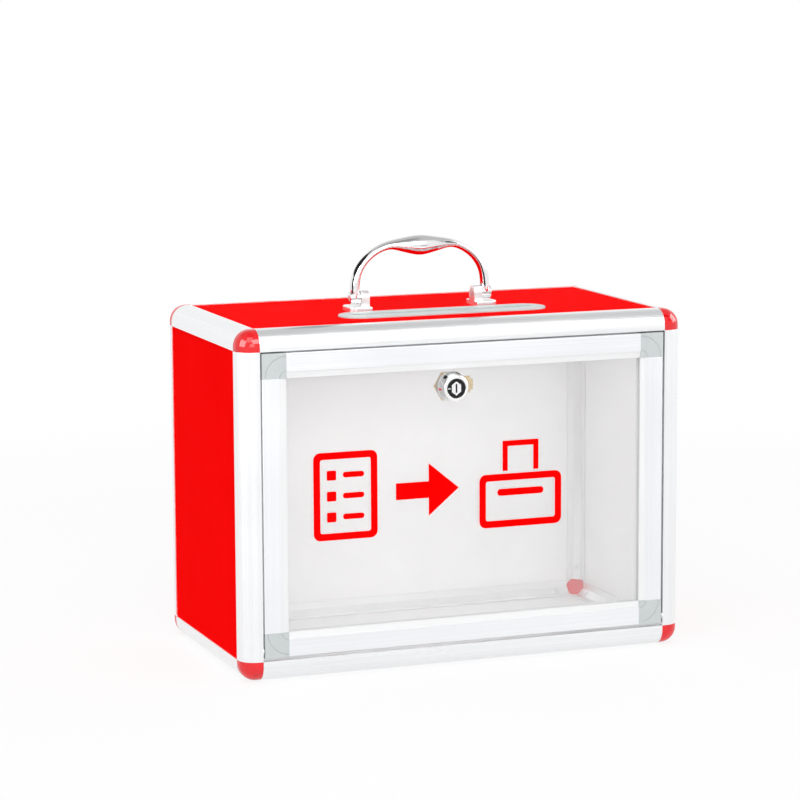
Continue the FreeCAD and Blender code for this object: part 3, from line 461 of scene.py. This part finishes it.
def walls(count, first, second):
    """Faces between two loops of points, given by the number of their first point."""
    sides = []
    for i in range(count):
        following = (i + 1) % count
        sides.append((first + i, first + following, second + following, second + i))
    return sides


def two_layers(loop, front):
    return [(x, front - FILM, z) for x, z in loop] + [(x, front, z) for x, z in loop]


def film(loop, front):
    """Thin plate with the outline (x, z), seen from the front anticlockwise."""
    count = len(loop)
    sides = [tuple(range(count)), tuple(reversed(range(count, 2 * count)))]
    return two_layers(loop, front), sides + walls(count, count, 0)


def film_ring(outer, inner, front):
    """Thin plate between two outlines with as many points each."""
    count = len(outer)
    outer_front, outer_back, inner_front, inner_back = [count * layer for layer in range(4)]
    sides = walls(count, outer_back, outer_front) + walls(count, inner_front, inner_back)
    sides += walls(count, outer_front, inner_front) + walls(count, inner_back, outer_back)
    return two_layers(outer, front) + two_layers(inner, front), sides


def rounded(left, low, right, high, radius, steps=5):
    """Outline of a rectangle with round corners."""
    loop = []
    turns = ((right - radius, low + radius, -90), (right - radius, high - radius, 0),
             (left + radius, high - radius, 90), (left + radius, low + radius, 180))
    for x, z, start in turns:
        for step in range(steps + 1):
            angle = math.radians(start + 90.0 * step / steps)
            loop.append((x + radius * math.cos(angle), z + radius * math.sin(angle)))
    return loop


def patch(left, low, right, high, radius):
    return film(rounded(left, low, right, high, radius), PANE_FRONT)


def outlined(left, low, right, high):
    outer = rounded(left, low, right, high, SIGN_WALL)
    inner = rounded(left + SIGN_WALL, low + SIGN_WALL, right - SIGN_WALL, high - SIGN_WALL, SIGN_WALL / 3)
    return film_ring(outer, inner, PANE_FRONT)


PAPER_LEFT, PAPER_RIGHT = -116.0, -68.0
ROW_PITCH = 15.0
CHOICE_LEFT, CHOICE_RIGHT, CHOICE_HALF, CHOICE_ROUND = -106.0, -99.0, 3.5, 1.0
LINE_LEFT, LINE_RIGHT, LINE_HALF, LINE_ROUND = -94.0, -78.0, 2.0, 1.9


def paper():
    """A sheet with three rows, each a square and a line."""
    solids = [outlined(PAPER_LEFT, SIGN_LOW, PAPER_RIGHT, SIGN_HIGH)]
    for step in (-1, 0, 1):
        row = SIGN_MIDDLE + step * ROW_PITCH
        solids.append(patch(CHOICE_LEFT, row - CHOICE_HALF, CHOICE_RIGHT, row + CHOICE_HALF, CHOICE_ROUND))
        solids.append(patch(LINE_LEFT, row - LINE_HALF, LINE_RIGHT, row + LINE_HALF, LINE_ROUND))
    return solids


ARROW_TAIL, ARROW_NECK, ARROW_TIP = -54.0, -29.0, -6.0
ARROW_SHAFT_HALF, ARROW_HEAD_HALF = 6.0, 19.0


def arrow():
    """An arrow from the sheet to the box."""
    half = ((ARROW_TAIL, ARROW_SHAFT_HALF), (ARROW_NECK, ARROW_SHAFT_HALF), (ARROW_NECK, ARROW_HEAD_HALF))
    below = [(x, SIGN_MIDDLE - away) for x, away in half]
    above = [(x, SIGN_MIDDLE + away) for x, away in reversed(half)]
    return [film(below + [(ARROW_TIP, SIGN_MIDDLE)] + above, PANE_FRONT)]


BOX_LEFT, BOX_RIGHT, BOX_HIGH = 10.0, 74.0, 137.0
SLOT_LEFT, SLOT_RIGHT, SLOT_LOW, SLOT_HIGH, SLOT_ROUND = 24.0, 60.0, 121.0, 126.0, 2.4
SHEET_LEFT, SHEET_RIGHT, SHEET_LOW, SHEET_WALL = 28.0, 56.0, 139.0, 4.0


def box_with_sheet():
    """A box with a slot, and a sheet above it on its way in."""
    left, right, high = SHEET_LEFT + SHEET_WALL, SHEET_RIGHT - SHEET_WALL, SIGN_HIGH - SHEET_WALL
    sheet = [
        (SHEET_LEFT, SHEET_LOW), (left, SHEET_LOW), (left, high), (right, high),
        (right, SHEET_LOW), (SHEET_RIGHT, SHEET_LOW), (SHEET_RIGHT, SIGN_HIGH), (SHEET_LEFT, SIGN_HIGH)]
    return [
        outlined(BOX_LEFT, SIGN_LOW, BOX_RIGHT, BOX_HIGH),
        patch(SLOT_LEFT, SLOT_LOW, SLOT_RIGHT, SLOT_HIGH, SLOT_ROUND),
        film(sheet, PANE_FRONT)]


marking("paper_sign", paper(), panel_red, "door")
marking("arrow_sign", arrow(), panel_red, "door")
marking("box_sign", box_with_sheet(), panel_red, "door")

# The lock's sloping side: its height above the pane and its radius, at the foot and at the top
FOOT_HEIGHT, TOP_HEIGHT = 1.4, 8.5
FOOT_RADIUS, TOP_RADIUS = 11.0, 9.25
TICK_RISE = 0.12
TICK_STEPS = 4


def cone_mark(angle, spread, low, high):
    """Thin patch on the sloping side of the lock."""
    corners = []
    for lift in (TICK_RISE, 0.0):
        for height in (low, high):
            share = (height - FOOT_HEIGHT) / (TOP_HEIGHT - FOOT_HEIGHT)
            radius = FOOT_RADIUS + share * (TOP_RADIUS - FOOT_RADIUS) + lift
            for step in range(TICK_STEPS + 1):
                turn = math.radians(angle + spread * (2.0 * step / TICK_STEPS - 1.0))
                x, z = LOCK_X + radius * math.cos(turn), LOCK_Z + radius * math.sin(turn)
                corners.append((x, PANE_FRONT - height, z))
    last = TICK_STEPS
    outer_low, outer_high, inner_low, inner_high = [(last + 1) * row for row in range(4)]
    sides = []
    for i in range(last):
        sides.append((outer_low + i, outer_high + i, outer_high + i + 1, outer_low + i + 1))
        sides.append((inner_low + i, inner_low + i + 1, inner_high + i + 1, inner_high + i))
        sides.append((outer_low + i, outer_low + i + 1, inner_low + i + 1, inner_low + i))
        sides.append((outer_high + i, inner_high + i, inner_high + i + 1, outer_high + i + 1))
    sides.append((outer_low, inner_low, inner_high, outer_high))
    sides.append((outer_low + last, outer_high + last, inner_high + last, inner_low + last))
    return corners, sides


POINTER_OUT, POINTER_IN, POINTER_HALF, POINTER_ROUND = 6.4, 4.3, 0.45, 0.4


def dial_pointer():
    """A short stroke on the left of the dial."""
    left, right = LOCK_X - POINTER_OUT, LOCK_X - POINTER_IN
    low, high = LOCK_Z - POINTER_HALF, LOCK_Z + POINTER_HALF
    return [film(rounded(left, low, right, high, POINTER_ROUND), DIAL_FRONT)]


red_tick = [cone_mark(angle=184, spread=2.6, low=2.0, high=5.2)]
dark_ticks = [
    cone_mark(angle=130, spread=7, low=2.6, high=6.0),
    cone_mark(angle=71, spread=9, low=2.2, high=4.2)]
marking("lock_red_tick", red_tick, panel_red, "door")
marking("lock_dark_ticks", dark_ticks, dial_black, "door")
marking("dial_tick", dial_pointer(), trim_grey, "lock_rotor")


# Floor and studio

FLOOR_HALF = 40.0
CLEAR_OF_FLOOR = 0.0002
FLOOR_GREY = (0.85, 0.85, 0.85, 1.0)
SHADOW_SHARE = 0.15
SHADOW_REACH = 0.6
SHADOW_FADE = 1.2

# Strengths of the studio, and the sines of the angles between which its backdrop greys
AMBIENT = 0.85
CEILING, CEILING_START, CEILING_END = 0.60, 0.74, 0.86
ZENITH, ZENITH_START, ZENITH_END = 0.35, 0.93, 0.97
REAR_LIFT = 0.45


def studio_sheet(name, corners, material):
    """A flat sheet of the studio, not of the part."""
    mesh = bpy.data.meshes.new(name)
    mesh.from_pydata([tuple(corner) for corner in corners], [], [tuple(range(len(corners)))])
    mesh.materials.append(material)
    made = bpy.data.objects.new(name, mesh)
    scene.collection.objects.link(made)
    return made


def white_seen_directly(made):
    """1 for rays that carry the picture: from the camera, off gloss or through glass."""
    direct = made.node("ShaderNodeLightPath", output="Is Camera Ray")
    mirrored = made.node("ShaderNodeLightPath", output="Is Glossy Ray")
    passed = made.node("ShaderNodeLightPath", output="Is Transmission Ray")
    return (direct + mirrored + passed).clamp()


def pale_floor():
    """White sheet that keeps a faint shadow near the part."""
    made = finish("pale_floor")
    away = made.node("ShaderNodeVectorMath", {"operation": "LENGTH"}, {0: made.place()}, output="Value")
    fade = made.smooth(away, SHADOW_REACH, SHADOW_FADE, 1.0 - SHADOW_SHARE, 1.0)
    matt = made.node("ShaderNodeBsdfDiffuse", None, {"Color": FLOOR_GREY})
    glow = made.node("ShaderNodeEmission", None, {"Color": WHITE, "Strength": 1.0})
    made.show(made.mixed(white_seen_directly(made) * fade, matt, glow))
    return made.owner


def pale_studio():
    """Even light all round, and a white backdrop that greys overhead, as polished metal shows it."""
    made = Finish(scene.world)
    towards = made.node("ShaderNodeTexCoord", output="Generated")
    to_the_back = made.node("ShaderNodeSeparateXYZ", None, {0: towards}, output="Y")
    height = made.node("ShaderNodeSeparateXYZ", None, {0: towards}, output="Z")
    raised = height * (1.0 + to_the_back.at_least(0.0) * REAR_LIFT)
    ceiling = made.smooth(raised, CEILING_START, CEILING_END, 1.0, CEILING)
    zenith = made.smooth(height, ZENITH_START, ZENITH_END, 1.0, ZENITH / CEILING)
    ambient = made.node("ShaderNodeBackground", None, {"Color": WHITE, "Strength": AMBIENT})
    backdrop = made.node("ShaderNodeBackground", None, {"Color": WHITE, "Strength": ceiling * zenith})
    made.show(made.mixed(white_seen_directly(made), ambient, backdrop))


floor_signs = ((-1, -1), (1, -1), (1, 1), (-1, 1))
floor_corners = [(x * FLOOR_HALF, y * FLOOR_HALF, -CLEAR_OF_FLOOR) for x, y in floor_signs]
studio_sheet("studio_floor", floor_corners, pale_floor())
scene.world = bpy.data.worlds.new("studio")
pale_studio()


# Lamps and cards

LIT_POINT = Vector((0.0, 0.0, 0.15))
CARD_BLACK = (0.02, 0.02, 0.022, 1.0)


def bearing(azimuth, elevation):
    """Unit vector; azimuth 0 is in front of the door, 90 to its right."""
    turn, rise = math.radians(azimuth), math.radians(elevation)
    return Vector((math.sin(turn) * math.cos(rise), -math.cos(turn) * math.cos(rise), math.sin(rise)))


def area_lamp(name, place, towards, wide, tall, watts):
    lamp = bpy.data.lights.new(name, "AREA")
    lamp.shape = "RECTANGLE"
    lamp.size = wide
    lamp.size_y = tall
    lamp.energy = watts
    made = bpy.data.objects.new(name, lamp)
    made.location = place
    made.rotation_mode = "QUATERNION"
    made.rotation_quaternion = Vector(towards).to_track_quat("-Z", "Y")
    scene.collection.objects.link(made)
    return made


def softbox(name, azimuth, elevation, distance, wide, tall, watts):
    """Large soft lamp that looks at the part."""
    away = bearing(azimuth, elevation)
    return area_lamp(name, LIT_POINT + away * distance, -away, wide, tall, watts)


def window(name, **placing):
    """Bright window that only gloss shows, so it shapes highlights and lights nothing matt."""
    hide_from(softbox(name, **placing), "diffuse")


def inside_fill(name, **placing):
    """Faint lamp within the box for its pale inside, which isn't seen itself."""
    hide_from(area_lamp(name, **placing), "camera", "glossy", "transmission")


def dark_card(name, corners):
    """Black card that only gloss shows, as a line or band along the polished curves."""
    made = finish(name)
    made.show(made.node("ShaderNodeEmission", None, {"Color": CARD_BLACK, "Strength": 1.0}))
    hide_from(studio_sheet(name, corners, made.owner), "camera", "diffuse", "transmission", "shadow")


softbox("high_softbox", azimuth=-30, elevation=52, distance=2.4, wide=1.4, tall=1.4, watts=14.0)
softbox("low_softbox", azimuth=-8, elevation=14, distance=3.0, wide=1.6, tall=1.2, watts=16.0)
window("left_window", azimuth=-76, elevation=22, distance=1.6, wide=1.1, tall=1.0, watts=21.0)
window("front_window", azimuth=8, elevation=39, distance=1.7, wide=0.9, tall=0.8, watts=14.0)
window("right_window", azimuth=80, elevation=26, distance=1.7, wide=1.0, tall=0.9, watts=17.0)
inside_fill(
    "wall_fill", place=(0.0, -0.050, 0.125), towards=(0.2, 1, 0), wide=0.24, tall=0.16, watts=0.028)
inside_fill(
    "floor_fill", place=(0.0, -0.02, 0.205), towards=(0.35, 0, -1), wide=0.06, tall=0.24, watts=0.042)

# Cards that the handle mirrors: places in metres, bearings in degrees
LEFT_CARD_X = -0.068
LEFT_CARD_OUTLINE = (
    (-0.004, 0.258), (0.004, 0.258), (0.008, 0.280), (0.03, 0.286), (0.08, 0.296),
    (0.08, 0.40), (0.03, 0.345), (-0.004, 0.322))
GRIP = Vector((0.0, 0.0, 0.28))
RIGHT_CARD_DISTANCE = 0.8
RIGHT_CARD_BEARINGS = ((58, 52), (66, 46), (44, 10), (38, 14))
LEG_CARD_CORNERS = (
    (0.0401, -0.0326, 0.2585), (0.0219, -0.0114, 0.2585), (0.027, -0.017, 0.268),
    (0.032, -0.0232, 0.280), (0.0375, -0.0296, 0.268))
GRIP_CARD_Y = -1.0
GRIP_CARD_OUTLINE = ((0.30, 0.17), (0.48, 0.17), (0.48, 0.26), (0.30, 0.26))

dark_card("left_card", [(LEFT_CARD_X, y, z) for y, z in LEFT_CARD_OUTLINE])
dark_card("right_card", [GRIP + bearing(*turn) * RIGHT_CARD_DISTANCE for turn in RIGHT_CARD_BEARINGS])
dark_card("leg_card", LEG_CARD_CORNERS)
dark_card("grip_card", [(x, GRIP_CARD_Y, z) for x, z in GRIP_CARD_OUTLINE])


# Camera, fitted to the corners of the case, with its angles in degrees

AZIMUTH, ELEVATION, ROLL = -20.662, 8.684, -0.284
DISTANCE = 2.2402
LOOKS_AT = Vector((-0.01757, 0.00325, 0.18105))
FOCAL_PIXELS = 3032.0
IMAGE_PIXELS = 800.0
SENSOR_WIDTH = 36.0

back = bearing(AZIMUTH, ELEVATION)
lens = bpy.data.cameras.new("product_camera")
lens.sensor_width = SENSOR_WIDTH
lens.lens = FOCAL_PIXELS / IMAGE_PIXELS * SENSOR_WIDTH
camera = bpy.data.objects.new("product_camera", lens)
camera.rotation_mode = "QUATERNION"
camera.location = LOOKS_AT + back * DISTANCE
camera.rotation_quaternion = (-back).to_track_quat("-Z", "Y") @ Quaternion((0, 0, 1), math.radians(ROLL))
scene.collection.objects.link(camera)
scene.camera = camera

scene.view_settings.view_transform = "Standard"
